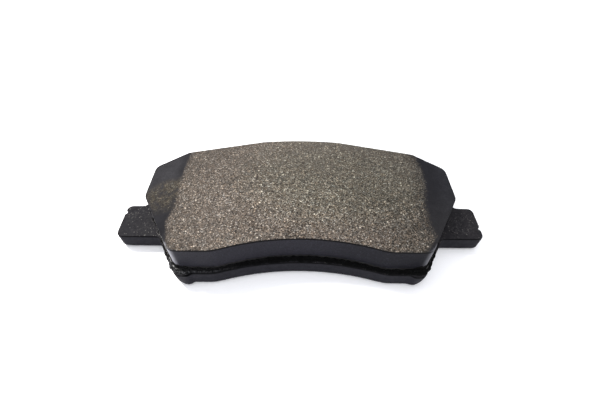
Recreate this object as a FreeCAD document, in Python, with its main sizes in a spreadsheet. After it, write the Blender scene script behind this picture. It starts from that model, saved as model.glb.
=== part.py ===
import FreeCAD, Part

import math
import os

import Sketcher

# A disc brake pad lying on its back. +Z is the pad's thickness, from the caliper side up to the disc side.
# +X runs along the disc's circumference and +Y points away from the disc's centre. The origin is at the
# middle of the pad's outline, on the plane of the shim's caliper face. All sizes are in millimetres.
SIZES = {
    # Steel backing plate. Its ears slide in the caliper bracket, and its feet point at the disc's centre.
    "pad_width": 131.5,
    "pad_height": 57.5,
    "plate_thickness": 6.0,
    "plate_side_width": 116.0,
    "plate_shoulder_level": 14.2,
    "plate_knee_half": 44.5,
    "plate_knee_level": 21.0,
    "plate_crown_half": 15.2,
    "plate_crown_radius": 139.5,
    "plate_shoulder_round": 3.0,
    "ear_height": 14.2,
    "ear_base_level": -13.2,
    "ear_corner_round": 1.9,
    "ear_root_round": 2.2,
    "ear_heel_half": 50.66,
    "ear_heel_round": 1.0,
    "foot_tip_half": 41.05,
    "foot_tip_round": 2.6,
    "foot_inner_half": 37.7,
    "foot_inner_round": 1.2,
    "sole_end_half": 36.5,
    "sole_level": -27.8,
    "plate_arch_top": -23.3,
    "plate_arch_radius": 93.0,
    "plate_arch_blend": 12.0,
    "die_roll": 0.3,
    # Holes that the friction mix is moulded through, and half-sheared stubs that locate the shim.
    "keying_hole_diameter": 11.0,
    "keying_hole_half": 19.0,
    "keying_hole_level": 2.0,
    "stub_diameter": 7.0,
    "stub_height": 0.6,
    "stub_half": 38.0,
    "stub_level": 4.0,
    # Friction block and the two thin layers under it.
    "film_thickness": 0.2,
    "film_overhang": 0.5,
    "underlayer_thickness": 0.95,
    "friction_thickness": 9.65,
    "friction_width": 112.0,
    "friction_crown_level": 27.3,
    "friction_crown_half": 15.0,
    "friction_crown_radius": 138.0,
    "friction_knee_half": 43.9,
    "friction_knee_level": 19.6,
    "friction_shoulder_level": 13.5,
    "friction_shoulder_round": 2.6,
    "friction_waist_level": -1.7,
    "friction_waist_round": 4.0,
    "friction_corner_half": 41.26,
    "friction_corner_round": 3.6,
    "friction_base_level": -25.95,
    "friction_arch_top": -21.05,
    "friction_arch_radius": 81.0,
    "friction_arch_blend": 14.0,
    "crown_blend": 25.0,
    "knee_blend": 8.0,
    "chamfer_start_half": 44.0,
    "chamfer_drop": 2.2,
    # Shim: two steel sheets with a damping core between them, rubber outside and adhesive inside.
    "shim_inset": 0.4,
    "shim_rubber_thickness": 0.12,
    "shim_steel_thickness": 0.25,
    "shim_core_thickness": 0.06,
    "shim_adhesive_thickness": 0.12,
    "shim_hole_clearance": 0.25,
}

STEP_FOLDER = "parts"
TOUCH = 1e-4

doc = FreeCAD.newDocument("BrakePad")
sheet = doc.addObject("Spreadsheet::Sheet", "Sizes")
for row, (alias, size) in enumerate(SIZES.items(), start=1):
    sheet.set(f"A{row}", alias)
    sheet.set(f"B{row}", str(size))
    sheet.setAlias(f"B{row}", alias)
doc.recompute()

# Heights of the layers, from the shim's caliper face up.
SHIM_HEIGHT = (
    "Sizes.shim_rubber_thickness + 2 * Sizes.shim_steel_thickness"
    " + Sizes.shim_core_thickness + Sizes.shim_adhesive_thickness"
)
PLATE_TOP = f"{SHIM_HEIGHT} + Sizes.plate_thickness"
FILM_TOP = f"{PLATE_TOP} + Sizes.film_thickness"
UNDERLAYER_TOP = f"{FILM_TOP} + Sizes.underlayer_thickness"


def value(expression):
    """The number that an expression on the sheet gives."""
    return float(sheet.evalExpression(expression))


def origin_plane(body, role):
    return next(plane for plane in body.Origin.OriginFeatures if plane.Role == role)


def new_body(name, level="0"):
    """An empty body whose own XY plane lies at the given level."""
    body = doc.addObject("PartDesign::Body", name)
    body.Label = name
    body.setExpression("Placement.Base.z", level)
    return body


def new_sketch(body, name, role="XY_Plane", lift=None):
    """An empty sketch on one of the body's origin planes, lifted off it by an expression."""
    sketch = body.newObject("Sketcher::SketchObject", name)
    sketch.AttachmentSupport = [(origin_plane(body, role), "")]
    sketch.MapMode = "FlatFace"
    if lift:
        sketch.setExpression("AttachmentOffset.Base.z", lift)
    return sketch


def bind(sketch, kind, *geometry, expression):
    """Adds a dimension to a sketch and binds it to the sheet."""
    index = sketch.addConstraint(Sketcher.Constraint(kind, *geometry, value(expression)))
    sketch.setExpression(f"Constraints[{index}]", expression)


def half_outline(body, name, corners, crown_radius):
    """The right half of an outline, closed along the Y axis. The corners run clockwise from the crown's top to
    the outline's bottom on the axis. The first edge is an arc centred on the axis, and the rest are straight.
    Returns the sketch and where each corner lies."""
    sketch = new_sketch(body, name)
    top = value(corners["crown_top"][1])
    crown_end = value(corners["crown_end"][0])
    radius = value(crown_radius)
    drop = radius - math.sqrt(radius**2 - crown_end**2)
    places = {
        corner: FreeCAD.Vector(value(across), top - drop if up is None else value(up), 0)
        for corner, (across, up) in corners.items()
    }
    points = list(places.values())
    centre = FreeCAD.Vector(0, top - radius, 0)
    crown = Part.Circle(centre, FreeCAD.Vector(0, 0, 1), radius)
    crown_angle = math.acos(crown_end / radius)
    sketch.addGeometry(Part.ArcOfCircle(crown, crown_angle, math.pi / 2))
    for start, end in zip(points[1:], points[2:] + points[:1]):
        sketch.addGeometry(Part.LineSegment(start, end))
    last = len(points) - 1
    # The arc runs anticlockwise, so it starts at the crown's end and ends at its top.
    sketch.addConstraint(Sketcher.Constraint("Coincident", 0, 1, 1, 1))
    sketch.addConstraint(Sketcher.Constraint("Coincident", 0, 2, last, 2))
    for edge in range(1, last):
        sketch.addConstraint(Sketcher.Constraint("Coincident", edge, 2, edge + 1, 1))
    sketch.addConstraint(Sketcher.Constraint("PointOnObject", 0, 3, -2))
    bind(sketch, "Radius", 0, expression=crown_radius)
    for edge, (across, up) in enumerate(corners.values()):
        vertex = (edge, 1) if edge else (last, 2)
        bind(sketch, "DistanceX", -1, 1, *vertex, expression=across)
        if up is not None:
            bind(sketch, "DistanceY", -1, 1, *vertex, expression=up)
    return sketch, places


def pad(body, name, sketch, length, downwards=False):
    feature = body.newObject("PartDesign::Pad", name)
    feature.Profile = sketch
    feature.setExpression("Length", length)
    feature.Reversed = downwards
    doc.recompute()
    return feature


def pocket(body, name, sketch, length=None, upwards=False):
    """Cuts a sketch's outline out of the body, right through if there is no length."""
    before = body.Shape.Volume
    feature = body.newObject("PartDesign::Pocket", name)
    feature.Profile = sketch
    feature.Reversed = upwards
    if length:
        feature.setExpression("Length", length)
    else:
        feature.Type = "ThroughAll"
    doc.recompute()
    if not body.Shape.Volume < before - TOUCH:
        raise RuntimeError(f"{name} cuts nothing from {body.Label}")
    return feature


def mirror(body, name, feature):
    """Mirrors a feature to the body's other side, across its YZ plane."""
    feature_pair = body.newObject("PartDesign::Mirrored", name)
    feature_pair.Originals = [feature]
    feature_pair.MirrorPlane = (origin_plane(body, "YZ_Plane"), [""])
    feature_pair.Refine = True
    body.Tip = feature_pair
    doc.recompute()
    return feature_pair


def round_corners(body, name, places, radius):
    """Rounds the upright edges at the given places and at their mirror images."""
    base = body.Tip
    edges = []
    for number, edge in enumerate(base.Shape.Edges, start=1):
        start, end = edge.Vertexes[0].Point, edge.Vertexes[-1].Point
        upright = math.hypot(start.x - end.x, start.y - end.y) < TOUCH
        if not upright or abs(start.z - end.z) < TOUCH:
            continue
        if any(math.hypot(abs(start.x) - place.x, start.y - place.y) < TOUCH for place in places):
            edges.append(f"Edge{number}")
    if len(edges) != 2 * len(places):
        raise RuntimeError(f"{name} found {len(edges)} edges for {len(places)} pairs of corners")
    return fillet(body, name, edges, radius)


def fillet(body, name, edges, radius):
    base = body.Tip
    feature = body.newObject("PartDesign::Fillet", name)
    feature.Base = (base, edges)
    feature.setExpression("Radius", radius)
    body.Tip = feature
    doc.recompute()
    return feature


def cut_arch(body, name, top, radius, base_level, blend):
    """Cuts the hollow lower edge with a large circle on the pad's axis, and blends it into the straight edge."""
    sketch = new_sketch(body, f"{name}_circle")
    top_level, size = value(top), value(radius)
    centre = FreeCAD.Vector(0, top_level - size, 0)
    sketch.addGeometry(Part.Circle(centre, FreeCAD.Vector(0, 0, 1), size))
    sketch.addConstraint(Sketcher.Constraint("PointOnObject", 0, 3, -2))
    bind(sketch, "Radius", 0, expression=radius)
    bind(sketch, "DistanceY", -1, 1, 0, 3, expression=f"{top} - {radius}")
    pocket(body, name, sketch, upwards=True)
    rise = top_level - value(base_level)
    half_span = math.sqrt(2 * size * rise - rise**2)
    mouth = FreeCAD.Vector(half_span, value(base_level), 0)
    round_corners(body, f"{name}_blend", [mouth], blend)


def circle_pair(body, name, diameter, half, level, lift=None):
    """A sketch with one circle on each side of the pad's axis."""
    sketch = new_sketch(body, name, lift=lift)
    for number, side in enumerate((1, -1)):
        centre = FreeCAD.Vector(side * value(half), value(level), 0)
        sketch.addGeometry(Part.Circle(centre, FreeCAD.Vector(0, 0, 1), value(diameter) / 2))
        bind(sketch, "Diameter", number, expression=diameter)
        bind(sketch, "DistanceX", -1, 1, number, 3, expression=f"{side} * ({half})")
        bind(sketch, "DistanceY", -1, 1, number, 3, expression=level)
    return sketch


def keying_holes(body, name, lift=None):
    return circle_pair(
        body, name, "Sizes.keying_hole_diameter", "Sizes.keying_hole_half", "Sizes.keying_hole_level", lift
    )


def stubs(body, name, diameter="Sizes.stub_diameter", lift=None):
    return circle_pair(body, name, diameter, "Sizes.stub_half", "Sizes.stub_level", lift)


def make_backing_plate():
    """The blanked plate: ears, feet and arch, rounded over on its back edge by the die, with holes and stubs."""
    body = new_body("backing_plate", SHIM_HEIGHT)
    ear_top = "Sizes.ear_base_level + Sizes.ear_height"
    corners = {
        "crown_top": ("0", "Sizes.pad_height / 2"),
        "crown_end": ("Sizes.plate_crown_half", None),
        "knee": ("Sizes.plate_knee_half", "Sizes.plate_knee_level"),
        "shoulder": ("Sizes.plate_side_width / 2", "Sizes.plate_shoulder_level"),
        "ear_root": ("Sizes.plate_side_width / 2", ear_top),
        "ear_top": ("Sizes.pad_width / 2", ear_top),
        "ear_bottom": ("Sizes.pad_width / 2", "Sizes.ear_base_level"),
        "ear_heel": ("Sizes.ear_heel_half", "Sizes.ear_base_level"),
        "foot_tip": ("Sizes.foot_tip_half", "-Sizes.pad_height / 2"),
        "foot_inner": ("Sizes.foot_inner_half", "-Sizes.pad_height / 2"),
        "sole_end": ("Sizes.sole_end_half", "Sizes.sole_level"),
        "sole_middle": ("0", "Sizes.sole_level"),
    }
    sketch, places = half_outline(body, "plate_half_outline", corners, "Sizes.plate_crown_radius")
    blank = pad(body, "plate_half_blank", sketch, "Sizes.plate_thickness")
    mirror(body, "plate_blank", blank)
    rounds = {
        "Sizes.crown_blend": ["crown_end"],
        "Sizes.knee_blend": ["knee"],
        "Sizes.plate_shoulder_round": ["shoulder"],
        "Sizes.ear_root_round": ["ear_root"],
        "Sizes.ear_corner_round": ["ear_top", "ear_bottom"],
        "Sizes.ear_heel_round": ["ear_heel"],
        "Sizes.foot_tip_round": ["foot_tip"],
        "Sizes.foot_inner_round": ["foot_inner", "sole_end"],
    }
    for radius, names in rounds.items():
        round_corners(body, f"plate_{names[0]}_round", [places[name] for name in names], radius)
    cut_arch(
        body,
        "plate_arch",
        "Sizes.plate_arch_top",
        "Sizes.plate_arch_radius",
        "Sizes.sole_level",
        "Sizes.plate_arch_blend",
    )
    back_edges = [
        f"Edge{number}"
        for number, edge in enumerate(body.Tip.Shape.Edges, start=1)
        if edge.BoundBox.ZMax < TOUCH
    ]
    fillet(body, "plate_die_roll", back_edges, "Sizes.die_roll")
    pocket(body, "plate_keying_holes", keying_holes(body, "plate_keying_circles"), upwards=True)
    pad(body, "plate_stubs", stubs(body, "plate_stub_circles"), "Sizes.stub_height", downwards=True)
    dimples = stubs(body, "plate_dimple_circles", lift="Sizes.plate_thickness")
    pocket(body, "plate_stub_dimples", dimples, "Sizes.stub_height")
    return body


def make_friction_shape(body, name, thickness, inset="0"):
    """A layer with the friction block's outline, drawn in all round by the inset."""
    side = f"Sizes.friction_width / 2 - ({inset})"
    base_level = f"Sizes.friction_base_level + ({inset})"
    corners = {
        "crown_top": ("0", f"Sizes.friction_crown_level - ({inset})"),
        "crown_end": ("Sizes.friction_crown_half", None),
        "knee": ("Sizes.friction_knee_half", f"Sizes.friction_knee_level - ({inset})"),
        "shoulder": (side, f"Sizes.friction_shoulder_level - ({inset})"),
        "waist": (side, "Sizes.friction_waist_level"),
        "corner": (f"Sizes.friction_corner_half - ({inset})", base_level),
        "base_middle": ("0", base_level),
    }
    crown_radius = f"Sizes.friction_crown_radius - ({inset})"
    sketch, places = half_outline(body, f"{name}_half_outline", corners, crown_radius)
    half = pad(body, f"{name}_half", sketch, thickness)
    mirror(body, f"{name}_blank", half)
    rounds = {
        "Sizes.crown_blend": "crown_end",
        "Sizes.knee_blend": "knee",
        "Sizes.friction_shoulder_round": "shoulder",
        "Sizes.friction_waist_round": "waist",
        "Sizes.friction_corner_round": "corner",
    }
    for radius, corner in rounds.items():
        round_corners(body, f"{name}_{corner}_round", [places[corner]], radius)
    cut_arch(
        body,
        f"{name}_arch",
        f"Sizes.friction_arch_top + ({inset})",
        "Sizes.friction_arch_radius",
        base_level,
        "Sizes.friction_arch_blend",
    )


def make_bonding_film():
    """The adhesive between plate and mix. It shows as a narrow margin round the block's foot."""
    body = new_body("bonding_film", PLATE_TOP)
    make_friction_shape(body, "film", "Sizes.film_thickness", inset="-Sizes.film_overhang")
    pocket(body, "film_keying_holes", keying_holes(body, "film_keying_circles"), upwards=True)
    pocket(body, "film_stub_holes", stubs(body, "film_stub_circles"), upwards=True)
    return body


def make_underlayer():
    """The soft layer under the block, with the plugs that it fills the plate's holes and dimples with."""
    body = new_body("underlayer", FILM_TOP)
    make_friction_shape(body, "underlayer", "Sizes.underlayer_thickness")
    plug_length = "Sizes.plate_thickness + Sizes.film_thickness"
    pad(body, "underlayer_plugs", keying_holes(body, "plug_circles"), plug_length, downwards=True)
    dimple_depth = "Sizes.stub_height + Sizes.film_thickness"
    pad(body, "underlayer_dimple_fill", stubs(body, "dimple_fill_circles"), dimple_depth, downwards=True)
    return body


def make_friction_block():
    """The block that rubs on the disc, with a long shallow chamfer at each end."""
    body = new_body("friction_block", UNDERLAYER_TOP)
    make_friction_shape(body, "friction", "Sizes.friction_thickness")
    # The wedge that each chamfer removes, drawn in the XZ plane and standing clear of the block's end.
    sketch = new_sketch(body, "chamfer_wedge", role="XZ_Plane")
    start, end = "Sizes.chamfer_start_half", "Sizes.friction_width / 2"
    top, low = "Sizes.friction_thickness", "Sizes.friction_thickness - Sizes.chamfer_drop"
    corners = [(start, top), (end, low), (end, top)]
    points = [FreeCAD.Vector(value(across), value(up), 0) for across, up in corners]
    for edge, point in enumerate(points):
        sketch.addGeometry(Part.LineSegment(point, points[(edge + 1) % len(points)]))
    for edge, (across, up) in enumerate(corners):
        sketch.addConstraint(Sketcher.Constraint("Coincident", edge, 2, (edge + 1) % len(corners), 1))
        bind(sketch, "DistanceX", -1, 1, edge, 1, expression=across)
        bind(sketch, "DistanceY", -1, 1, edge, 1, expression=up)
    chamfer = pocket(body, "friction_chamfer", sketch)
    chamfer.Midplane = True
    doc.recompute()
    mirror(body, "friction_chamfers", chamfer)
    return body


def make_shim_layer(name, level, thickness):
    """One layer of the shim, with a hole round each of the plate's stubs."""
    body = new_body(name, level)
    make_friction_shape(body, name, thickness, inset="Sizes.shim_inset")
    hole = "Sizes.stub_diameter + 2 * Sizes.shim_hole_clearance"
    pocket(body, f"{name}_holes", stubs(body, f"{name}_hole_circles", diameter=hole), upwards=True)
    return body


def make_shim():
    """The shim's layers from the caliper side up, each lying on the one before it."""
    layers = {
        "shim_rubber_face": "Sizes.shim_rubber_thickness",
        "shim_outer_steel": "Sizes.shim_steel_thickness",
        "shim_damping_core": "Sizes.shim_core_thickness",
        "shim_inner_steel": "Sizes.shim_steel_thickness",
        "shim_adhesive": "Sizes.shim_adhesive_thickness",
    }
    bodies = []
    level = "0"
    for name, thickness in layers.items():
        bodies.append(make_shim_layer(name, level, thickness))
        level = f"{level} + {thickness}"
    return bodies


pieces = [make_backing_plate(), make_bonding_film(), make_underlayer(), make_friction_block(), *make_shim()]
doc.recompute()

for item in doc.Objects:
    if {"Invalid", "Error"} & set(item.State):
        raise RuntimeError(f"{item.Name} is {item.State}")
for piece in pieces:
    if piece.Shape.isNull() or not piece.Shape.isValid() or len(piece.Shape.Solids) != 1:
        raise RuntimeError(f"{piece.Label} isn't one valid solid")

os.makedirs(STEP_FOLDER, exist_ok=True)
for piece in pieces:
    piece.Shape.exportStep(f"{STEP_FOLDER}/{piece.Label}.step")
    box = piece.Shape.BoundBox
    print(
        f"{piece.Label}: {piece.Shape.Volume / 1000:.3f} cm3,"
        f" x {box.XMin:.2f}..{box.XMax:.2f}, y {box.YMin:.2f}..{box.YMax:.2f}, z {box.ZMin:.2f}..{box.ZMax:.2f}"
    )
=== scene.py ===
"""A disc brake pad lying on its back: its detailed pieces, their materials, the light and the camera."""

import math

import bpy
import numpy as np
from mathutils import Matrix, Vector, noise
from mathutils.geometry import delaunay_2d_cdt
from mathutils.kdtree import KDTree


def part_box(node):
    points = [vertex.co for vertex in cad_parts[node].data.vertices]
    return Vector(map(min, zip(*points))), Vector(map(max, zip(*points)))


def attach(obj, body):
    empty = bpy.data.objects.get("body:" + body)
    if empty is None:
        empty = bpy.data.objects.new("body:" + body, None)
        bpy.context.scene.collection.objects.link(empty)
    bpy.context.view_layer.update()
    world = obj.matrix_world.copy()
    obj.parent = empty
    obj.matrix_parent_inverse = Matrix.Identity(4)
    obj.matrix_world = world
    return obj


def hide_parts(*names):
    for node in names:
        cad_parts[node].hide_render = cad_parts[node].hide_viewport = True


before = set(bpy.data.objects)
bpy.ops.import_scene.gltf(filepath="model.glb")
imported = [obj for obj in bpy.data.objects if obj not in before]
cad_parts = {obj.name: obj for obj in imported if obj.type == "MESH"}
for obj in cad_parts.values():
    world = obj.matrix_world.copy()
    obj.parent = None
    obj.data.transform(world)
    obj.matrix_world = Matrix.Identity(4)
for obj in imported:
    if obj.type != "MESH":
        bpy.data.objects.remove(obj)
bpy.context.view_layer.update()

# Sizes are in millimetres here, and meshes are made in metres.
MM = 0.001
PLATE_LOW, PLATE_HIGH = (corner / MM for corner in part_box("backing_plate"))
BLOCK_LOW, BLOCK_HIGH = (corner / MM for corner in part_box("friction_block"))
PLATE_THICKNESS = 6.0
PLATE_TOP = PLATE_HIGH.z
PLATE_BACK = PLATE_TOP - PLATE_THICKNESS
FACE_LEVEL = BLOCK_HIGH.z
# The plate's stubs stand this proud of its back, over dents as deep, and their edges are bevelled.
STUB_HEIGHT = PLATE_BACK - PLATE_LOW.z
STUB_RADIUS = 3.5
STUB_BEVEL = 0.12
# The block's end chamfers start this far from the pad's middle and drop this much by its ends.
CHAMFER_START = 44.0
CHAMFER_DROP = 2.2
# A small dent in the edge of each ear.
EAR_NICKS = ((-65.7, -2.3), (65.6, -8.5))


# ---------------------------------------------------------------------------------------------- outlines


def face_loops(node, level):
    """The closed edge loops round a CAD node's flat face at a level, as arrays of (x, y)."""
    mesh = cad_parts[node].data
    places = [tuple(round(axis / MM, 3) for axis in vertex.co) for vertex in mesh.vertices]
    rim = {}
    for polygon in mesh.polygons:
        corners = [places[index] for index in polygon.vertices]
        if any(abs(corner[2] - level) >= 0.002 for corner in corners):
            continue
        for start, end in zip(corners, corners[1:] + corners[:1]):
            if (end[:2], start[:2]) in rim:
                del rim[end[:2], start[:2]]
            else:
                rim[start[:2], end[:2]] = True
    following = dict(rim.keys())
    loops = []
    while following:
        start, here = next(iter(following.items()))
        loop = [start]
        del following[start]
        while here != start:
            loop.append(here)
            here = following.pop(here)
        loops.append(np.array(loop))
    return loops


def span(loop):
    """The area of a loop's bounding box."""
    return float(np.prod(np.ptp(loop, axis=0)))


def evenly(loop, spacing, smoothing=4):
    """The same closed outline with evenly spaced points, anticlockwise from its topmost point."""
    area = np.sum(loop[:, 0] * np.roll(loop[:, 1], -1) - np.roll(loop[:, 0], -1) * loop[:, 1])
    if area < 0:
        loop = loop[::-1]
    loop = np.roll(loop, -int(np.argmax(loop[:, 1] - 1e-3 * np.abs(loop[:, 0]))), axis=0)
    closed = np.vstack([loop, loop[:1]])
    along = np.concatenate([[0], np.cumsum(np.linalg.norm(np.diff(closed, axis=0), axis=1))])
    count = round(along[-1] / spacing)
    wanted = np.arange(count) * along[-1] / count
    ring = np.stack([np.interp(wanted, along, closed[:, axis]) for axis in (0, 1)], axis=1)
    for _ in range(smoothing):
        ring = smoothed(ring)
    return ring


def smoothed(values):
    """Values round a closed ring, each averaged with its neighbours."""
    return 0.5 * values + 0.25 * (np.roll(values, 1, axis=0) + np.roll(values, -1, axis=0))


def outward(ring):
    """The outward unit normal at each point of an anticlockwise ring."""
    along = np.roll(ring, -2, axis=0) - np.roll(ring, 2, axis=0)
    normal = np.stack([along[:, 1], -along[:, 0]], axis=1)
    return normal / np.linalg.norm(normal, axis=1)[:, None]


def bend(ring, reach):
    """How sharply the outline turns outwards, over a reach of points: 0 on a straight, more at a corner."""
    before = ring - np.roll(ring, reach, axis=0)
    after = np.roll(ring, -reach, axis=0) - ring
    cross = before[:, 0] * after[:, 1] - before[:, 1] * after[:, 0]
    return np.clip(np.arctan2(cross, (before * after).sum(1)), 0, None)


def distances(points, targets):
    """How far each (x, y) point lies from the nearest of the targets."""
    tree = KDTree(len(targets))
    for number, target in enumerate(targets):
        tree.insert((*target, 0), number)
    tree.balance()
    return np.array([tree.find((*point, 0))[2] for point in points])


def grains(points, size, seed, octaves=1):
    """Noise at 3-D points, between about -1 and 1, with lumps about this size."""
    shift = Vector((seed * 17.3, seed * -9.1, seed * 5.7))
    places = [Vector(point) / size + shift for point in points]
    if octaves == 1:
        return np.array([noise.noise(place) for place in places])
    return np.array([noise.fractal(place, 0.9, 2.0, octaves) for place in places])


def lumps(points, size, seed):
    """Rounded grains packed side by side: 1 at a grain's middle, 0 between grains."""
    shift = Vector((seed * 3.3, seed * 7.7, seed * -4.1))
    nearest = [noise.voronoi(Vector(point) / size + shift)[0][0] for point in points]
    return np.array([1 - min(distance * 1.4, 1.0) ** 2 for distance in nearest])


# ------------------------------------------------------------------------------------------------ meshes


def add_piece(name, points, faces, material, **values):
    """A smooth mesh from points in millimetres, riding on the pad. It carries named values at its points."""
    mesh = bpy.data.meshes.new(name)
    mesh.from_pydata((np.asarray(points) * MM).tolist(), [], [list(map(int, face)) for face in faces])
    mesh.validate()
    for title, numbers in values.items():
        mesh.attributes.new(title, "FLOAT", "POINT").data.foreach_set("value", np.asarray(numbers, float))
    mesh.materials.append(material)
    mesh.polygons.foreach_set("use_smooth", [True] * len(mesh.polygons))
    piece = bpy.data.objects.new(name, mesh)
    bpy.context.scene.collection.objects.link(piece)
    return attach(piece, "root")


def levels(ring, height):
    """A ring of (x, y) lifted to a height, or to one height for each of its points."""
    return np.column_stack([ring, np.broadcast_to(height, len(ring))])


def pushed(ring, normal, distance):
    """A ring of (x, y, z) moved outwards by one distance for each of its points."""
    return ring + levels(normal * distance[:, None], 0)


def strip(rings, closed_section=False):
    """Quads between each ring and the next, anticlockwise seen from outside where the rings run upwards."""
    count = len(rings[0])
    pairs = list(zip(range(len(rings)), range(1, len(rings))))
    if closed_section:
        pairs.append((len(rings) - 1, 0))
    here = np.arange(count)
    after = np.roll(here, -1)
    return np.vstack([joined(low * count, high * count, here, after) for low, high in pairs])


def joined(low, high, here, after):
    """Quads between two rings whose points are numbered from low and from high on."""
    return np.stack([low + here, low + after, high + after, high + here], axis=1)


def rounded_rim(ring, normal, radius, top):
    """Three rings that round an upright wall over into a face at the top."""
    rings = []
    for turn in (30, 60, 90):
        inset = radius * (1 - math.cos(math.radians(turn)))
        height = top - radius * (1 - math.sin(math.radians(turn)))
        rings.append(levels(ring - normal * np.broadcast_to(inset, len(ring))[:, None], height))
    return rings


def scattered(edge, spacing, seed):
    """Loose points over an outline's bounding box, in uneven rows about this far apart."""
    rng = np.random.default_rng(seed)
    low, high = edge.min(0), edge.max(0)
    rows = []
    for number, level in enumerate(np.arange(low[1], high[1], spacing * math.sqrt(0.75))):
        columns = np.arange(low[0] + spacing * (number % 2) / 2, high[0], spacing)
        rows.append(np.column_stack([columns, np.full(len(columns), level)]))
    points = np.vstack(rows)
    return points + rng.uniform(-0.22, 0.22, points.shape) * spacing


def triangles(points, edges):
    """Triangles between (x, y) points, anticlockwise, which keep the given edges."""
    _, _, faces, origins, _, _ = delaunay_2d_cdt([Vector(point) for point in points], edges, [], 0, 1e-6)
    source = np.array([origin[0] if origin else -1 for origin in origins])
    faces = source[np.array(faces)]
    faces = faces[faces.min(1) >= 0]
    corners = points[faces]
    first, second = corners[:, 1] - corners[:, 0], corners[:, 2] - corners[:, 0]
    clockwise = first[:, 0] * second[:, 1] - first[:, 1] * second[:, 0] < 0
    faces[clockwise] = faces[clockwise][:, ::-1]
    return faces


def meadow(loops, inside, spacing, seed):
    """Triangles that fill the outline loops[0], less the holes in the other loops, with loose points about
    this far apart wherever inside says so. Returns the points, the loops' own first, and the triangles."""
    scatter = scattered(loops[0], spacing, seed)
    scatter = scatter[inside(scatter)]
    scatter = scatter[distances(scatter, np.vstack(loops)) > 0.6 * spacing]
    points = np.vstack([*loops, scatter])
    edges, start = [], 0
    for loop in loops:
        numbers = np.arange(len(loop)) + start
        edges += np.stack([numbers, np.roll(numbers, -1)], axis=1).tolist()
        start += len(loop)
    faces = triangles(points, edges)
    middles = points[faces].mean(1)
    keep = within(middles, loops[0])
    for hole in loops[1:]:
        keep &= ~within(middles, hole)
    faces = faces[keep]
    kept = np.union1d(np.arange(start), faces)
    return points[kept], np.searchsorted(kept, faces)


def within(points, loop):
    """Which points lie inside a closed loop."""
    x, y = points[:, 0][:, None], points[:, 1][:, None]
    answer = np.zeros(len(points), bool)
    ends = np.roll(loop, -1, axis=0)
    for part in np.array_split(np.arange(len(points)), max(1, len(points) // 2000)):
        px, py = x[part], y[part]
        crosses = (loop[:, 1] > py) != (ends[:, 1] > py)
        with np.errstate(divide="ignore", invalid="ignore"):
            at = loop[:, 0] + (py - loop[:, 1]) * (ends[:, 0] - loop[:, 0]) / (ends[:, 1] - loop[:, 1])
        answer[part] = (crosses & (px < at)).sum(1) % 2 == 1
    return answer


def everywhere(points):
    """Every point, as an answer for meadow."""
    return np.ones(len(points), bool)


def nowhere(points):
    """No point, as an answer for meadow."""
    return np.zeros(len(points), bool)


# --------------------------------------------------------------------------------------------- materials


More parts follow.
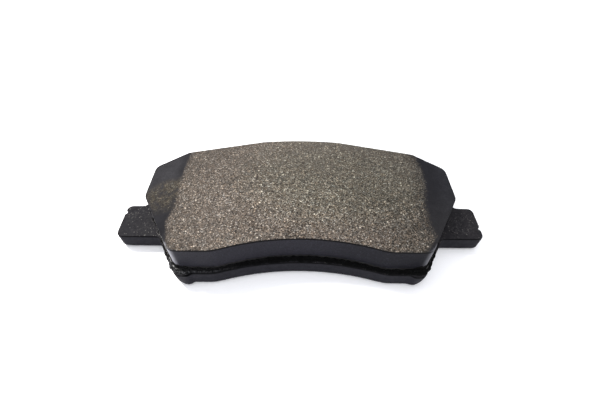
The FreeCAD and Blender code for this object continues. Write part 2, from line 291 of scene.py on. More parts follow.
class Nodes:
    """Short names for building one material's node tree."""

    def __init__(self, name):
        self.material = bpy.data.materials.new(name)
        self.material.use_nodes = True
        self.tree = self.material.node_tree
        self.shader = self.tree.nodes["Principled BSDF"]
        self.place = self.add("ShaderNodeTexCoord").outputs["Object"]

    def add(self, kind, **values):
        node = self.tree.nodes.new(kind)
        for name, value in values.items():
            setattr(node, name, value)
        return node

    def feed(self, socket, value):
        if isinstance(value, bpy.types.NodeSocket):
            self.tree.links.new(value, socket)
        else:
            socket.default_value = value

    def math(self, operation, first, second):
        node = self.add("ShaderNodeMath", operation=operation)
        self.feed(node.inputs[0], first)
        self.feed(node.inputs[1], second)
        return node.outputs[0]

    def times(self, first, second):
        return self.math("MULTIPLY", first, second)

    def opposite(self, share):
        """1 where the share is 0, and 0 where it is 1."""
        return self.math("SUBTRACT", 1.0, share)

    def noise(self, size, detail=2.0, roughness=0.5, distortion=0.0):
        """Cloudy noise with lumps about this many millimetres across."""
        node = self.add("ShaderNodeTexNoise")
        self.feed(node.inputs["Vector"], self.place)
        self.feed(node.inputs["Scale"], 0.5 / (size * MM))
        self.feed(node.inputs["Detail"], detail)
        self.feed(node.inputs["Roughness"], roughness)
        self.feed(node.inputs["Distortion"], distortion)
        return node.outputs["Fac"]

    def cells(self, size, output="Color"):
        """Grains about this many millimetres across: each one's colour, or the distance to its middle."""
        node = self.add("ShaderNodeTexVoronoi")
        self.feed(node.inputs["Vector"], self.place)
        self.feed(node.inputs["Scale"], 1 / (size * MM))
        return node.outputs[output]

    def part(self, colour, channel):
        """One channel of a colour."""
        node = self.add("ShaderNodeSeparateColor")
        self.feed(node.inputs[0], colour)
        return node.outputs[channel]

    def axis(self, number):
        """How far along the pad's X, Y or Z axis, in millimetres."""
        node = self.add("ShaderNodeSeparateXYZ")
        self.feed(node.inputs[0], self.place)
        return self.math("DIVIDE", node.outputs[number], MM)

    def ramp(self, value, *stops):
        node = self.add("ShaderNodeValToRGB")
        self.feed(node.inputs[0], value)
        elements = node.color_ramp.elements
        while len(elements) < len(stops):
            elements.new(0.5)
        for element, (position, colour) in zip(elements, stops):
            element.position = position
            element.color = (*colour, 1) if isinstance(colour, tuple) else (colour, colour, colour, 1)
        return node.outputs["Color"]

    def step(self, value, low, high):
        """0 at low and 1 at high, smoothly."""
        node = self.add("ShaderNodeMapRange", interpolation_type="SMOOTHSTEP")
        self.feed(node.inputs["Value"], value)
        self.feed(node.inputs["From Min"], low)
        self.feed(node.inputs["From Max"], high)
        return node.outputs["Result"]

    def mix(self, share, first, second, blend="MIX"):
        node = self.add("ShaderNodeMix", data_type="RGBA", blend_type=blend)
        self.feed(node.inputs["Factor"], share)
        for socket, value in ((node.inputs[6], first), (node.inputs[7], second)):
            self.feed(socket, (*value, 1) if isinstance(value, tuple) else value)
        return node.outputs[2]

    def filtered(self, colour, glass):
        """A colour seen through coloured glass, or lightened by glass above 1."""
        return self.mix(1.0, colour, glass, "MULTIPLY")

    def blend(self, share, first, second):
        node = self.add("ShaderNodeMix", data_type="FLOAT")
        self.feed(node.inputs["Factor"], share)
        self.feed(node.inputs[2], first)
        self.feed(node.inputs[3], second)
        return node.outputs[0]

    def attribute(self, name):
        """A value that the mesh carries at its points."""
        return self.add("ShaderNodeAttribute", attribute_name=name).outputs["Fac"]

    def bump(self, height, depth, strength):
        """A bump whose height of 1 stands this many millimetres proud."""
        node = self.add("ShaderNodeBump")
        self.feed(node.inputs["Height"], height)
        self.feed(node.inputs["Distance"], depth * MM)
        self.feed(node.inputs["Strength"], strength)
        return node.outputs["Normal"]

    def finish(self, colour, roughness, normal, metallic=0.0, specular=0.5):
        self.feed(self.shader.inputs["Base Color"], colour)
        self.feed(self.shader.inputs["Roughness"], roughness)
        self.feed(self.shader.inputs["Metallic"], metallic)
        self.feed(self.shader.inputs["Specular IOR Level"], specular)
        self.feed(self.shader.inputs["Normal"], normal)
        return self.material


def dots(n, spacing, radius, share):
    """Round specks: 1 inside a speck. They stand about one spacing apart, and only this share is there."""
    near = n.cells(spacing, output="Distance")
    there = n.step(n.part(n.cells(spacing), 1), 1 - share, 1 - share + 0.02)
    round_speck = n.step(near, 1.25 * radius / spacing, 0.75 * radius / spacing)
    return n.times(there, round_speck)


def patch(n, centre, radii):
    """1 at a place on the ground face, falling to 0 at the rim of an ellipse round it."""
    square = 0.0
    for number in (0, 1):
        offset = n.math("DIVIDE", n.math("SUBTRACT", n.axis(number), centre[number]), radii[number])
        square = n.math("ADD", n.times(offset, offset), square)
    return n.step(square, 1.0, 0.0)


def nearness(n):
    """0 beyond the pad's middle and 1 at its hollow edge."""
    return n.step(n.axis(1), 6.0, -22.0)


def grit_and_grains(n):
    """Fine warm grey grit with pale grains and dark pits. Returns the colour, the grit's height and the
    pits."""
    fine = n.cells(0.30)
    grit = n.part(fine, 0)
    compound = n.ramp(
        grit,
        (0.0, (0.010, 0.008, 0.007)),
        (0.25, (0.046, 0.040, 0.035)),
        (0.65, (0.100, 0.086, 0.073)),
        (0.90, (0.170, 0.149, 0.126)),
        (1.0, (0.42, 0.38, 0.33)),
    )
    warmth = n.blend(0.55, n.part(fine, 1), n.noise(0.9, 3.0, 0.6))
    hue = n.ramp(warmth, (0.25, (1.10, 0.99, 0.86)), (0.5, (1.0, 1.0, 0.96)), (0.75, (0.92, 1.00, 1.04)))
    compound = n.filtered(compound, hue)
    pits = dots(n, 1.3, 0.26, 0.6)
    # The pits are painted near black: the compound's dark specks, and painted shade in the hollows.
    compound = n.mix(n.times(pits, 0.75), compound, (0.016, 0.014, 0.012))
    pale = n.ramp(n.part(n.cells(0.95), 2), (0.0, (0.15, 0.133, 0.112)), (1.0, (0.36, 0.315, 0.25)))
    compound = n.mix(n.times(dots(n, 0.95, 0.21, 0.35), 0.9), compound, pale)
    compound = n.mix(dots(n, 2.6, 0.27, 0.55), compound, (0.54, 0.49, 0.40))
    return compound, grit, pits


def broad_patches(n, compound):
    """Faint clouds and broad patches: paler left of the middle, darker at the far left corner, greenish
    right of the middle, and darker towards both ends, most of all towards the right end's hollow edge."""
    clouds = n.ramp(n.noise(8.0, 4.0, 0.6), (0.3, 0.84), (0.7, 1.14))
    paler = n.mix(patch(n, (-6.0, -7.0), (22.0, 13.0)), (1.0, 1.0, 1.0), (1.12, 1.12, 1.12))
    darker = n.mix(patch(n, (-37.0, 18.0), (26.0, 13.0)), (1.0, 1.0, 1.0), (0.82, 0.82, 0.82))
    olive = n.mix(patch(n, (16.0, 8.0), (47.0, 30.0)), (1.010, 0.985, 1.004), (0.975, 1.020, 0.985))
    for stain in (clouds, paler, darker, olive):
        compound = n.filtered(compound, stain)
    left_end = n.step(n.axis(0), -33.0, -43.0)
    compound = n.mix(n.times(left_end, 0.17), compound, (0.018, 0.017, 0.014))
    right_end = n.step(n.axis(0), 12.0, 42.0)
    return n.mix(n.times(right_end, n.blend(nearness(n), 0.22, 0.36)), compound, (0.015, 0.017, 0.013))


def dusted(n, compound):
    """A film of pale dust, thickest towards the crown and thin over the left half."""
    crown = n.step(n.axis(1), -14.0, 32.0)
    thick = n.times(crown, n.ramp(n.noise(5.0, 3.0), (0.3, 0.28), (0.7, 0.52)))
    thin = n.times(n.step(n.axis(0), -4.0, -30.0), 0.17)
    return n.mix(n.math("MAXIMUM", thick, thin), compound, (0.094, 0.083, 0.072))


def block_paint(n):
    """Thin dark paint with painted light in it: lighter at the left end, with a painted sheen and painted
    shade on its upper faces, a black line of painted shade under the ground face's edge and a pale painted
    sheen on the moulded corners."""
    rightwards = n.step(n.axis(0), -5.0, 42.0)
    # Painted light: the walls' paint is lighter at the left and darker at the right, as the light falls from
    # the left, and its bluish tint is partly a painted reflection of the bluish dome.
    on_walls = n.mix(rightwards, (0.0255, 0.0248, 0.0315), (0.0130, 0.0130, 0.0165))
    # Painted light on the upper faces: the left end's paint is lighter towards the crown, a painted sheen,
    # and the right end's is darker, painted shade, growing a little lighter towards the hollow edge.
    left_top_painted_light = n.mix(nearness(n), (0.0250, 0.0243, 0.0268), (0.0098, 0.0096, 0.0118))
    right_top_painted_light = n.mix(nearness(n), (0.0192, 0.0192, 0.0222), (0.0265, 0.0256, 0.0268))
    on_top = n.mix(rightwards, left_top_painted_light, right_top_painted_light)
    on_top = n.filtered(on_top, n.ramp(n.noise(1.8, 4.0, 0.7), (0.35, 0.84), (0.65, 1.14)))
    upper = n.attribute("upper")
    moulded = n.opposite(upper)
    paint = n.mix(upper, on_walls, on_top)
    paint = n.filtered(paint, n.ramp(n.noise(0.25, 3.0, 0.8), (0.3, 0.72), (0.7, 1.28)))
    stipple = n.times(dots(n, 0.75, 0.2, 0.5), moulded)
    paint = n.mix(n.times(stipple, 0.5), paint, (0.040, 0.040, 0.056))
    # Painted sheen: a pale bluish colour where the wall turns away at the near corners.
    paint = n.mix(n.attribute("bloom"), paint, (0.34, 0.34, 0.375))
    # A black line of painted shade just under the ground face's edge, on the moulded walls.
    uneven = n.times(n.math("SUBTRACT", n.noise(0.5, 3.0, 0.7), 0.5), 0.35)
    below = n.math("ADD", n.math("SUBTRACT", FACE_LEVEL, n.axis(2)), uneven)
    line = n.times(n.step(below, 0.04, 0.10), n.step(below, 0.95, 0.68))
    paint = n.mix(n.times(line, moulded), paint, (0.0015, 0.0015, 0.002))
    in_shade = n.times(n.step(n.attribute("past_ground"), 4.5, 0.5), upper)
    return n.mix(n.times(in_shade, 0.45), paint, (0.0095, 0.0092, 0.0105))


def rubbed_through(n, paint, compound):
    """The paint, rubbed through to the grimy grain on the worn patch."""
    grimy = n.filtered(compound, (0.56, 0.56, 0.51))
    polished = n.mix(0.5, compound, (0.054, 0.053, 0.046))
    bare = n.mix(n.step(n.noise(0.55, 4.0, 0.8), 0.50, 0.66), grimy, polished)
    # The bare grain darkens towards the hollow edge: painted shade, as on the chamfer's paint round it.
    bare = n.mix(nearness(n), bare, n.filtered(bare, (0.42, 0.42, 0.42)))
    rubbed = n.times(n.attribute("worn"), n.step(n.noise(1.6, 5.0, 0.75), 0.30, 0.56))
    return n.mix(n.times(rubbed, 0.88), paint, bare)


def friction_material():
    """Ground friction compound where the face was ground, and thin dark paint on everything else."""
    n = Nodes("friction_compound")
    compound, grit, pits = grit_and_grains(n)
    compound = dusted(n, broad_patches(n, compound))
    paint = rubbed_through(n, block_paint(n), compound)
    # The paint thins out over the ground face's last stretch, and ends in a ragged fringe.
    past = n.attribute("past_ground")
    compound = n.mix(n.times(n.step(past, -2.6, 0.2), 0.40), compound, paint)
    fringe = n.times(n.math("SUBTRACT", n.noise(0.45, 4.0, 0.8), 0.5), 2.4)
    ground = n.step(n.math("ADD", past, fringe), 0.55, -0.55)
    colour = n.mix(ground, paint, compound)
    roughness = n.blend(ground, n.ramp(n.noise(1.5, 3.0), (0.3, 0.34), (0.7, 0.44)), 0.75)
    relief = n.math("SUBTRACT", n.math("ADD", grit, n.noise(0.2, 2.0)), n.times(pits, 1.5))
    grain = n.blend(ground, n.times(n.noise(0.3, 3.0, 0.7), 0.5), relief)
    return n.finish(colour, roughness, n.bump(grain, 0.03, 0.9), specular=0.03)


def band_material():
    """The black rim of resin that was squeezed out round the block's foot, blacker than the resin itself as
    painted shade in the groove, with a pale streak and a few pale specks as painted glints.
    """
    n = Nodes("squeezed_out_resin")
    grit = n.part(n.cells(0.3), 1)
    # The near-black is the resin's own black and painted shade in the groove between the block and the
    # ledge.
    black = n.ramp(grit, (0.0, 0.0016), (0.8, 0.0035), (1.0, 0.008))
    # Painted glints: a pale streak along the bead at the left front.
    shine = n.times(n.attribute("shine"), n.step(n.noise(0.35, 4.0, 0.8), 0.44, 0.60))
    colour = n.mix(shine, black, (0.085, 0.085, 0.090))
    # More painted glints: pale specks on the same stretch.
    specks = n.times(dots(n, 1.0, 0.16, 0.25), n.attribute("shine"))
    colour = n.mix(specks, colour, (0.30, 0.29, 0.27))
    roughness = n.blend(shine, 0.65, 0.3)
    normal = n.bump(n.math("ADD", n.noise(0.25, 3.0, 0.7), grit), 0.05, 0.9)
    return n.finish(colour, roughness, normal, specular=0.05)


def plate_material():
    """Thin black coating over shot-blasted steel, with a dark line of painted shade along the blanked edge's
    top, and dust, scuffs and pale specks on its upper face."""
    n = Nodes("plate_coating")
    mottle = n.noise(0.45, 4.0, 0.75)
    base = n.ramp(mottle, (0.28, (0.0130, 0.0128, 0.0165)), (0.72, (0.0290, 0.0285, 0.0345)))
    upper = n.step(n.axis(2), PLATE_TOP - 0.10, PLATE_TOP - 0.04)
    # A dark line of painted shade just under the blanked edge's top.
    rim = n.times(n.step(n.axis(2), PLATE_TOP - 0.85, PLATE_TOP - 0.60), n.opposite(upper))
    base = n.mix(n.times(upper, 0.55), base, (0.0040, 0.0040, 0.0048))
    base = n.mix(rim, base, (0.0015, 0.0015, 0.002))
    rightwards = n.step(n.axis(0), -20.0, 45.0)
    film = n.times(upper, n.blend(rightwards, 0.20, 0.42))
    colour = n.mix(film, base, (0.026, 0.024, 0.0245))
    scuffs = n.times(n.step(n.noise(1.1, 3.0, 0.7), 0.50, 0.30), upper)
    colour = n.mix(n.times(scuffs, 0.45), colour, (0.004, 0.004, 0.005))
    clouds = n.step(n.noise(3.0, 3.0), 0.36, 0.62)
    streaks = n.step(n.noise(0.42, 5.0, 0.8, distortion=0.8), 0.49, 0.64)
    haze = n.times(streaks, n.times(clouds, upper))
    colour = n.mix(n.times(haze, 0.75), colour, (0.055, 0.052, 0.052))
    specks = n.times(n.math("ADD", dots(n, 1.5, 0.24, 0.5), dots(n, 0.8, 0.15, 0.4)), upper)
    colour = n.mix(n.times(specks, n.blend(rightwards, 0.80, 0.45)), colour, (0.14, 0.135, 0.125))
    roughness = n.ramp(n.noise(1.2, 3.0), (0.3, 0.45), (0.7, 0.65))
    return n.finish(colour, roughness, n.bump(n.noise(0.3, 4.0, 0.7), 0.04, 0.8), specular=0.03)


def rubber_material():
    """The shim's black rubber coat."""
    n = Nodes("shim_rubber")
    colour = n.ramp(n.noise(2.0, 5.0, 0.7), (0.3, 0.014), (0.7, 0.026))
    roughness = n.ramp(n.noise(6.0, 4.0, 0.7), (0.3, 0.5), (0.7, 0.72))
    return n.finish(colour, roughness, n.bump(n.noise(0.2, 3.0, 0.7), 0.012, 0.8))


def steel_material():
    """The shim's bare sheet steel."""
    n = Nodes("shim_steel")
    colour = n.ramp(n.noise(0.8, 4.0, 0.7), (0.3, (0.36, 0.36, 0.37)), (0.7, (0.52, 0.52, 0.53)))
    roughness = n.ramp(n.noise(0.5, 3.0), (0.3, 0.3), (0.7, 0.5))
    return n.finish(colour, roughness, n.bump(n.noise(0.15, 2.0), 0.01, 0.6), metallic=1.0)


def glue_material(name, light, dark, gloss):
    """A mottled resin or glue between two colours. The gloss is its lowest roughness."""
    n = Nodes(name)
    colour = n.ramp(n.noise(1.0, 4.0, 0.7), (0.3, dark), (0.7, light))
    roughness = n.ramp(n.noise(0.6, 3.0), (0.3, gloss), (0.7, gloss + 0.2))
    return n.finish(colour, roughness, n.bump(n.noise(0.25, 3.0, 0.7), 0.02, 0.7))


# ------------------------------------------------------------------------------------- friction block


def chamfer_drop(x):
    """How far the block's end chamfers lie below its face."""
    share = (np.abs(x) - CHAMFER_START) / (BLOCK_HIGH.x - CHAMFER_START)
    return CHAMFER_DROP * np.clip(share, 0, None)


def past_ground(x, y):
    """How far a point lies past the ground face's end, in widths of the fringe there. The grinder's cut
    wanders, and the paint fades in more slowly at the right end."""
    near_bulge = np.exp(-(((y + 14.0) / 3.6) ** 2))
    near_corner = 0.2 * np.clip(-16.0 - y, 0, None)
    # Where the face ends at the left, at the right, and at the right end's near corner.
    left = 43.6 + 0.3 * np.cos((y - 6.0) / 4.6) + near_bulge - near_corner
    right = 44.2 + 1.5 * np.sin((y + 2.0) / 7.0)
    flank = 40.5 + 0.77 * (y + 24.2)
    return np.where(x < 0, (-x - left) / 0.9, np.maximum((x - right) / 2.2, (x - flank) / 0.8))


def worn_patch(x, y):
    """1 in the middle of the patch where the left chamfer's paint is rubbed thin, 0 off it."""
    across = (x + 47.4) / 9.5
    up = (y + 1.0 - 0.16 * (x + 47.4)) / np.where(y > -0.8, 6.6, 10.0)
    return np.clip(2.2 - 2.0 * np.hypot(across, up), 0, 1)


def corner_bloom(foot, normal):
    """How much painted sheen the block's wall carries: most where it turns away at the near corners, and
    more at the left one.
    """
    turned = np.degrees(np.arctan2(np.abs(normal[:, 0]), -normal[:, 1]))
    at_corner = np.clip((-22.6 - foot[:, 1]) / 1.2, 0, 1) * np.clip(np.abs(foot[:, 0]) - 38.0, 0, 1)
    return np.clip((turned - 8) / 32, 0, 1) * at_corner * np.where(foot[:, 0] < 0, 1.0, 0.4)


def block_walls(foot, normal, top):
    """Rings up the block's wall, which swells a little, and over its chipped edge."""
    along = levels(foot, 0)
    chip = 0.30 * np.clip(grains(along, 1.1, 3, octaves=3) - 0.2, 0, 1)
    edge_round = 0.08 + 0.06 * np.abs(grains(along, 3.0, 5)) + chip
    # The rows lie closer together under the edge, where the black line of painted shade runs.
    rows_under_edge = [0.935, 0.956, 0.970, 0.984, 1.0]
    rings = []
    for share in [*np.linspace(0, 0.91, 22), *rows_under_edge]:
        ring = levels(foot, BLOCK_LOW.z + share * (top - edge_round - BLOCK_LOW.z))
        rings.append(pushed(ring, normal, 0.035 * grains(ring, 5.0, 7) + 0.012 * grains(ring, 0.9, 8)))
    return rings + rounded_rim(foot, normal, edge_round, top)


def make_block(material):
    """The friction block: a loose-grained ground face, a chipped edge and finely grained moulded walls. Its
    points carry how far they lie past the ground face, and how upper, how worn and how much painted sheen
    they carry."""
    spacing = 0.4
    foot = evenly(max(face_loops("friction_block", BLOCK_LOW.z), key=span), spacing)
    normal = outward(foot)
    top = FACE_LEVEL - chamfer_drop(foot[:, 0])
    rings = block_walls(foot, normal, top)
    points, faces = meadow([rings[-1][:, :2]], everywhere, spacing, seed=11)
    inner = points[len(foot):]
    flat = FACE_LEVEL - chamfer_drop(inner[:, 0])
    place = levels(inner, flat)
    relief = 0.02 * grains(place, 0.9, 21) - 0.09 * np.clip(grains(place, 1.3, 22, octaves=2) - 0.32, 0, 1)
    rough = np.clip(1 - past_ground(*inner.T), 0.25, 1)
    bottom_faces = meadow([rings[0][:, :2]], nowhere, 5.0, seed=12)[1]
    walls = np.vstack(rings)
    vertices = np.vstack([walls, levels(inner, flat + relief * rough)])
    depth = np.tile(top, len(rings)) - walls[:, 2]
    past = past_ground(*vertices[:, :2].T)
    # On the walls, the ground grain gives way to the paint just under the edge.
    past[: len(walls)] = np.maximum(past[: len(walls)], 14 * depth - 1.2)
    block = add_piece(
        "friction_block_ground",
        vertices,
        [*strip(rings), *(faces + len(walls) - len(foot)), *bottom_faces[:, ::-1]],
        material,
        past_ground=past,
        upper=np.append(np.clip(1 - depth / 0.2, 0, 1), np.ones(len(inner))),
        worn=np.append(np.zeros(len(walls)), worn_patch(*inner.T)),
        bloom=np.append(np.tile(corner_bloom(foot, normal), len(rings)), np.zeros(len(inner))),
    )
    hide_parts("friction_block")
    return foot


# --------------------------------------------------------------------------------- squeezed-out resin

# Rings down the block's wall, and then out over the plate's ledge.
BAND_WALL_STEPS = 7
BAND_LEDGE_STEPS = 10


def band_sections(foot, ledge):
    """The rim's cross-section as (distance from the block, height) pairs: down the block's wall, out over
    the plate's ledge, which is this wide at each point, and back underneath."""
    x, y = foot.T
    along = levels(foot, 0)
    front_corner = np.exp(-(((np.abs(x) - 40.0) / 3.0) ** 2)) * np.clip((-15 - y) / 4, 0, 1)
    flank = np.clip((np.abs(x) - 37) / 3, 0, 1) * np.clip((-12 - y) / 3, 0, 1)
    beside_ears = np.clip((np.abs(x) - 44.5) / 1.5, 0, 1)
    climb = BLOCK_LOW.z - 0.80 + 1.7 * front_corner + 0.4 * flank + 0.75 * grains(along, 1.5, 31, octaves=4)
    climb = np.maximum(climb, PLATE_TOP + 0.10)
    ragged = 0.45 * grains(along, 1.5, 32, octaves=3)
    widest = 2.0 - 1.3 * beside_ears
    reach = np.minimum(ledge - 0.10 + ragged * 0.2, widest + ragged) + flank * (0.10 + 1.5 * np.abs(ragged))
    sections = [(np.full(len(foot), -0.05), climb)]
    for step in range(1, BAND_WALL_STEPS):
        share = step / (BAND_WALL_STEPS - 1)
        height = climb + share * (PLATE_TOP + 0.30 - climb)
        sections.append((np.full(len(foot), 0.07 + 0.05 * share), height))
    for step in range(1, BAND_LEDGE_STEPS + 1):
        share = step / BAND_LEDGE_STEPS
        distance = 0.12 + share * (reach - 0.12)
        bead = 0.10 * math.exp(-(((share - 0.62) / 0.16) ** 2))
        over = np.clip(distance - ledge, 0, None)
        height = PLATE_TOP + 0.30 * (1 - share) ** 3 + 0.08 * (1 - share**6) + bead - 1.2 * over
        sections.append((distance, height))
    hang = 0.12 + flank * (0.5 + 2.0 * np.abs(ragged))
    sections.append((reach - 0.06, PLATE_TOP - hang))
    sections.append((np.full(len(foot), -0.6), PLATE_TOP - hang))
    sections.append((np.full(len(foot), -0.6), climb - 0.1))
    return sections


def make_band(foot, plate_edge, material):
    """The ragged black rim: squeezed out over the plate's ledge, and creeping up the block's wall."""
    normal = outward(foot)
    sections = band_sections(foot, distances(foot, plate_edge))
    rings = []
    for number, (distance, height) in enumerate(sections):
        ring = levels(foot + normal * distance[:, None], height)
        if 1 <= number < len(sections) - 2:
            # The grains stand out from the wall, and up from the ledge.
            grain = lumps(ring, 0.55, 41) * 0.13 + 0.08 * grains(ring, 0.45, 42) - 0.04
            push, lift = (0.35, 1.0) if number >= BAND_WALL_STEPS else (1.0, 0.2)
            ring = ring + levels(normal * (grain * push)[:, None], grain * lift)
        rings.append(ring)
    x, y = foot.T
    # Where the painted glints lie: along the bead's ridge, at the left front.
    left_front = np.clip((-20 - x) / 12, 0, 1) * np.clip((-20.5 - y) / 2.5, 0, 1)
    ridge = BAND_WALL_STEPS + 6
    closeness = [math.exp(-(((number - ridge) / 1.6) ** 2)) for number in range(len(sections))]
    shine = np.concatenate([left_front * (0.15 + 0.85 * share) for share in closeness])
    faces = strip(rings, closed_section=True)[:, ::-1]
    band = add_piece("resin_squeeze_out", np.vstack(rings), faces, material, shine=shine)


# -------------------------------------------------------------------------------------- backing plate


class Shell:
    """Points and faces gathered part by part."""

    def __init__(self):
        self.points = []
        self.faces = []
        self.count = 0

    def add_points(self, points):
        """Adds points, and returns the first one's number."""
        first = self.count
        self.points.append(points)
        self.count += len(points)
        return first

    def add_faces(self, faces):
        self.faces += faces.tolist()


def foot_shape(edge):
    """How far the plate's wall draws in towards its back, and how far the left foot bulges out on its inner
    side. The feet are rounded off on their outer sides, and the right one's sole too."""
    x, y = edge.T
    corner = bend(edge, 5)
    for _ in range(10):
        corner = smoothed(corner)
    corner = np.clip(corner / 0.9, 0, 1)
    in_foot = np.clip((-23.0 - y) / 1.5, 0, 1)
    outer_side = in_foot * np.clip((np.abs(x) - 38.6) / 1.6, 0, 1)
    right_sole = in_foot * np.clip((x - 36.4) / 1.4, 0, 1)
    bulge = 0.42 * np.exp(-(((x + 36.9) / 0.9) ** 2)) * in_foot
    return 0.15 * corner + 0.50 * outer_side + 0.30 * right_sole, bulge


def plate_walls(edge):
    """Rings up the blanked edge: rolled over at the back, torn a little, nicked at the ears and rounded at
    the top."""
    top_round = 0.22
    normal = outward(edge)
    drawn_in, bulge = foot_shape(edge)
    # The nicks run out towards the plate's back.
    nick = sum(0.75 * np.clip(1.4 - np.hypot(*(edge - place).T) / 0.6, 0, 1) for place in EAR_NICKS)
    rings = []
    for share in np.linspace(0, 1, 14):
        low = 1 - share
        die_roll = 0.12 * np.clip((low - 0.9) / 0.1, 0, 1) ** 2
        roll = drawn_in * low**1.6 - bulge + die_roll + nick * min(1.0, share / 0.4)
        ring = levels(edge, PLATE_BACK + share * (PLATE_THICKNESS - top_round))
        tear = 0.03 * grains(ring, 1.2, 51) + 0.02 * grains(ring * [1, 1, 0.15], 0.5, 52)
        rings.append(pushed(ring, normal, tear - roll))
    nicked = edge - normal * nick[:, None]
    return rings + rounded_rim(nicked, normal, top_round, PLATE_TOP)


def on_show(points):
    """Which points of the plate's upper face the block leaves bare: the ears and the hollow edge's ledge."""
    return (np.abs(points[:, 0]) > 50) | (points[:, 1] < -22)


def fill_side(shell, first, outline, holes, inside, spacing, seed, way=1):
    """Adds the faces of one side of the plate, inside an outline whose points are numbered from first on.
    Returns the new (x, y) points, the holes' own first."""
    points, faces = meadow([outline, *holes], inside, spacing, seed)
    count = len(outline)
    shell.add_faces(np.where(faces < count, faces + first, faces - count + shell.count)[:, ::way])
    return points[count:]


def add_stub(shell, ring, first, side_level, way):
    """Adds a round stub below one side of the plate, or a dent in the other, from a ring numbered from first
    on. The way turns its faces."""
    here = np.arange(len(ring))
    after = np.roll(here, -1)
    level = side_level - STUB_HEIGHT
    middle = ring.mean(0)
    shrunk = middle + (ring - middle) * (1 - STUB_BEVEL / STUB_RADIUS)
    side = shell.add_points(levels(ring, level + STUB_BEVEL))
    cap = shell.add_points(levels(shrunk, level))
    for upper, lower in ((first, side), (side, cap)):
        shell.add_faces(joined(upper, lower, here, after)[:, ::way])
    shell.faces.append((cap + here)[::way].tolist())


def make_plate(material):
    """The backing plate with its blanked edge, keying holes, and stubs on its back with dents above them."""
    *round_loops, outline = sorted(face_loops("backing_plate", PLATE_TOP), key=span)
    edge = evenly(outline, 0.5, smoothing=2)
    rings = plate_walls(edge)
    # The two smallest rings are the stubs', and the others are the keying holes'.
    holes = [evenly(loop, 0.8, smoothing=0) for loop in round_loops]
    stub_rings, keying_rings = holes[:2], holes[2:]
    round_rings = keying_rings + stub_rings

    shell = Shell()
    shell.add_points(np.vstack(rings))
    shell.add_faces(strip(rings))
    last_ring = shell.count - len(edge)
    new = fill_side(shell, last_ring, rings[-1][:, :2], round_rings, on_show, 0.7, seed=13)
    height = PLATE_TOP + 0.02 * grains(levels(new, 0), 1.4, 53)
    height[: sum(map(len, round_rings))] = PLATE_TOP
    top_first = shell.add_points(levels(new, height))
    new = fill_side(shell, 0, rings[0][:, :2], round_rings, nowhere, 5.0, seed=14, way=-1)
    back_first = shell.add_points(levels(new, PLATE_BACK))

    start = 0
    for ring in keying_rings:
        here = np.arange(len(ring)) + start
        shell.add_faces(joined(back_first, top_first, here, np.roll(here, -1))[:, ::-1])
        start += len(ring)
    for ring in stub_rings:
        add_stub(shell, ring, back_first + start, PLATE_BACK, way=-1)
        add_stub(shell, ring, top_first + start, PLATE_TOP, way=1)
        start += len(ring)
    plate = add_piece("backing_plate_blanked", np.vstack(shell.points), shell.faces, material)
    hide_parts("backing_plate")
    return edge


# ----------------------------------------------------------------------------------------- camera, light


def make_camera():
    """Close above the pad's hollow edge, looking down and away, as the photograph was taken."""
    camera = bpy.data.cameras.new("camera")
    camera.lens = 20.88
    camera.sensor_width = 36.0
    camera.clip_start = 0.005
    holder = bpy.data.objects.new("camera", camera)
    bpy.context.scene.collection.objects.link(holder)
    heading, pitch, roll = (math.radians(angle) for angle in (-0.366, 90 - 48.744, 0.805))
    turn = Matrix.Rotation(heading, 4, "Z") @ Matrix.Rotation(pitch, 4, "X") @ Matrix.Rotation(roll, 4, "Z")
    holder.matrix_world = Matrix.Translation(Vector((-0.81, -84.86, 108.82)) * MM) @ turn
    bpy.context.scene.camera = holder


def make_key_light():
    """A large soft spot high on the left, which falls off towards the pad's right end."""
    lamp = bpy.data.lights.new("key", "SPOT")
    lamp.shadow_soft_size = 0.07
    lamp.spot_size = math.radians(22)
    lamp.spot_blend = 1.0
    lamp.energy = 23.0
    lamp.color = (1.0, 0.97, 0.93)
    holder = bpy.data.objects.new("key", lamp)
    holder.location = (-0.30, 0.20, 0.50)
    aim = Vector((-0.045, -0.005, 0.0)) - holder.location
    holder.rotation_euler = aim.to_track_quat("-Z", "Y").to_euler()
    bpy.context.scene.collection.objects.link(holder)


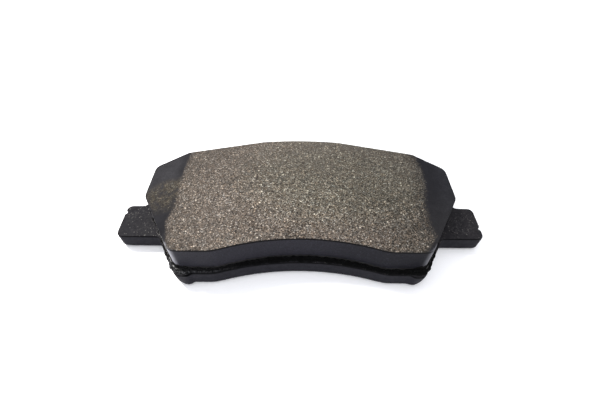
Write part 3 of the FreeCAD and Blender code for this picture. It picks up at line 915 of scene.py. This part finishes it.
def make_floor():
    """A plain pale floor that glows a little. It lies just under the shim, so that the two faces don't
    coincide."""
    n = Nodes("pale_floor")
    colour = n.ramp(n.noise(60.0, 3.0), (0.3, 0.90), (0.7, 0.93))
    n.finish(colour, 0.7, n.bump(n.noise(1.5, 3.0), 0.01, 0.3))
    n.shader.inputs["Emission Color"].default_value = (0.97, 0.98, 1.0, 1)
    n.shader.inputs["Emission Strength"].default_value = 0.16
    mesh = bpy.data.meshes.new("floor")
    half = 3.0
    level = -0.05 * MM
    corners = [(-half, -half, level), (half, -half, level), (half, half, level), (-half, half, level)]
    mesh.from_pydata(corners, [], [(0, 1, 2, 3)])
    mesh.materials.append(n.material)
    floor = bpy.data.objects.new("floor", mesh)
    bpy.context.scene.collection.objects.link(floor)


def make_world():
    """A studio dome, bright overhead and dim towards the horizon."""
    world = bpy.data.worlds.new("studio")
    world.use_nodes = True
    nodes, links = world.node_tree.nodes, world.node_tree.links
    direction = nodes.new("ShaderNodeTexCoord").outputs["Generated"]
    split = nodes.new("ShaderNodeSeparateXYZ")
    links.new(direction, split.inputs[0])
    steep = nodes.new("ShaderNodeMath")
    steep.operation = "POWER"
    links.new(split.outputs["Z"], steep.inputs[0])
    steep.inputs[1].default_value = 2.0
    glow = nodes.new("ShaderNodeMath")
    glow.operation = "MULTIPLY_ADD"
    links.new(steep.outputs[0], glow.inputs[0])
    glow.inputs[1].default_value = 2.0
    glow.inputs[2].default_value = 0.2
    links.new(glow.outputs[0], nodes["Background"].inputs["Strength"])
    nodes["Background"].inputs["Color"].default_value = (0.97, 0.98, 1.03, 1)
    bpy.context.scene.world = world
    bpy.context.scene.view_settings.view_transform = "Standard"


make_camera()
make_world()
make_floor()
make_key_light()

block_foot = make_block(friction_material())
plate_outline = make_plate(plate_material())
make_band(block_foot, plate_outline, band_material())

# The pieces that keep their CAD shapes get their own materials.
finishes = {
    "bonding_film": glue_material("bond_adhesive", 0.012, 0.006, 0.3),
    "underlayer": glue_material("underlayer_mix", 0.014, 0.007, 0.5),
    "shim_rubber_face": rubber_material(),
    "shim_outer_steel": steel_material(),
    "shim_damping_core": glue_material("shim_core", 0.05, 0.03, 0.6),
    "shim_inner_steel": steel_material(),
    "shim_adhesive": glue_material("shim_glue", (0.36, 0.32, 0.24), (0.28, 0.25, 0.19), 0.5),
}
for name, finish in finishes.items():
    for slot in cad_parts[name].material_slots:
        slot.material = finish
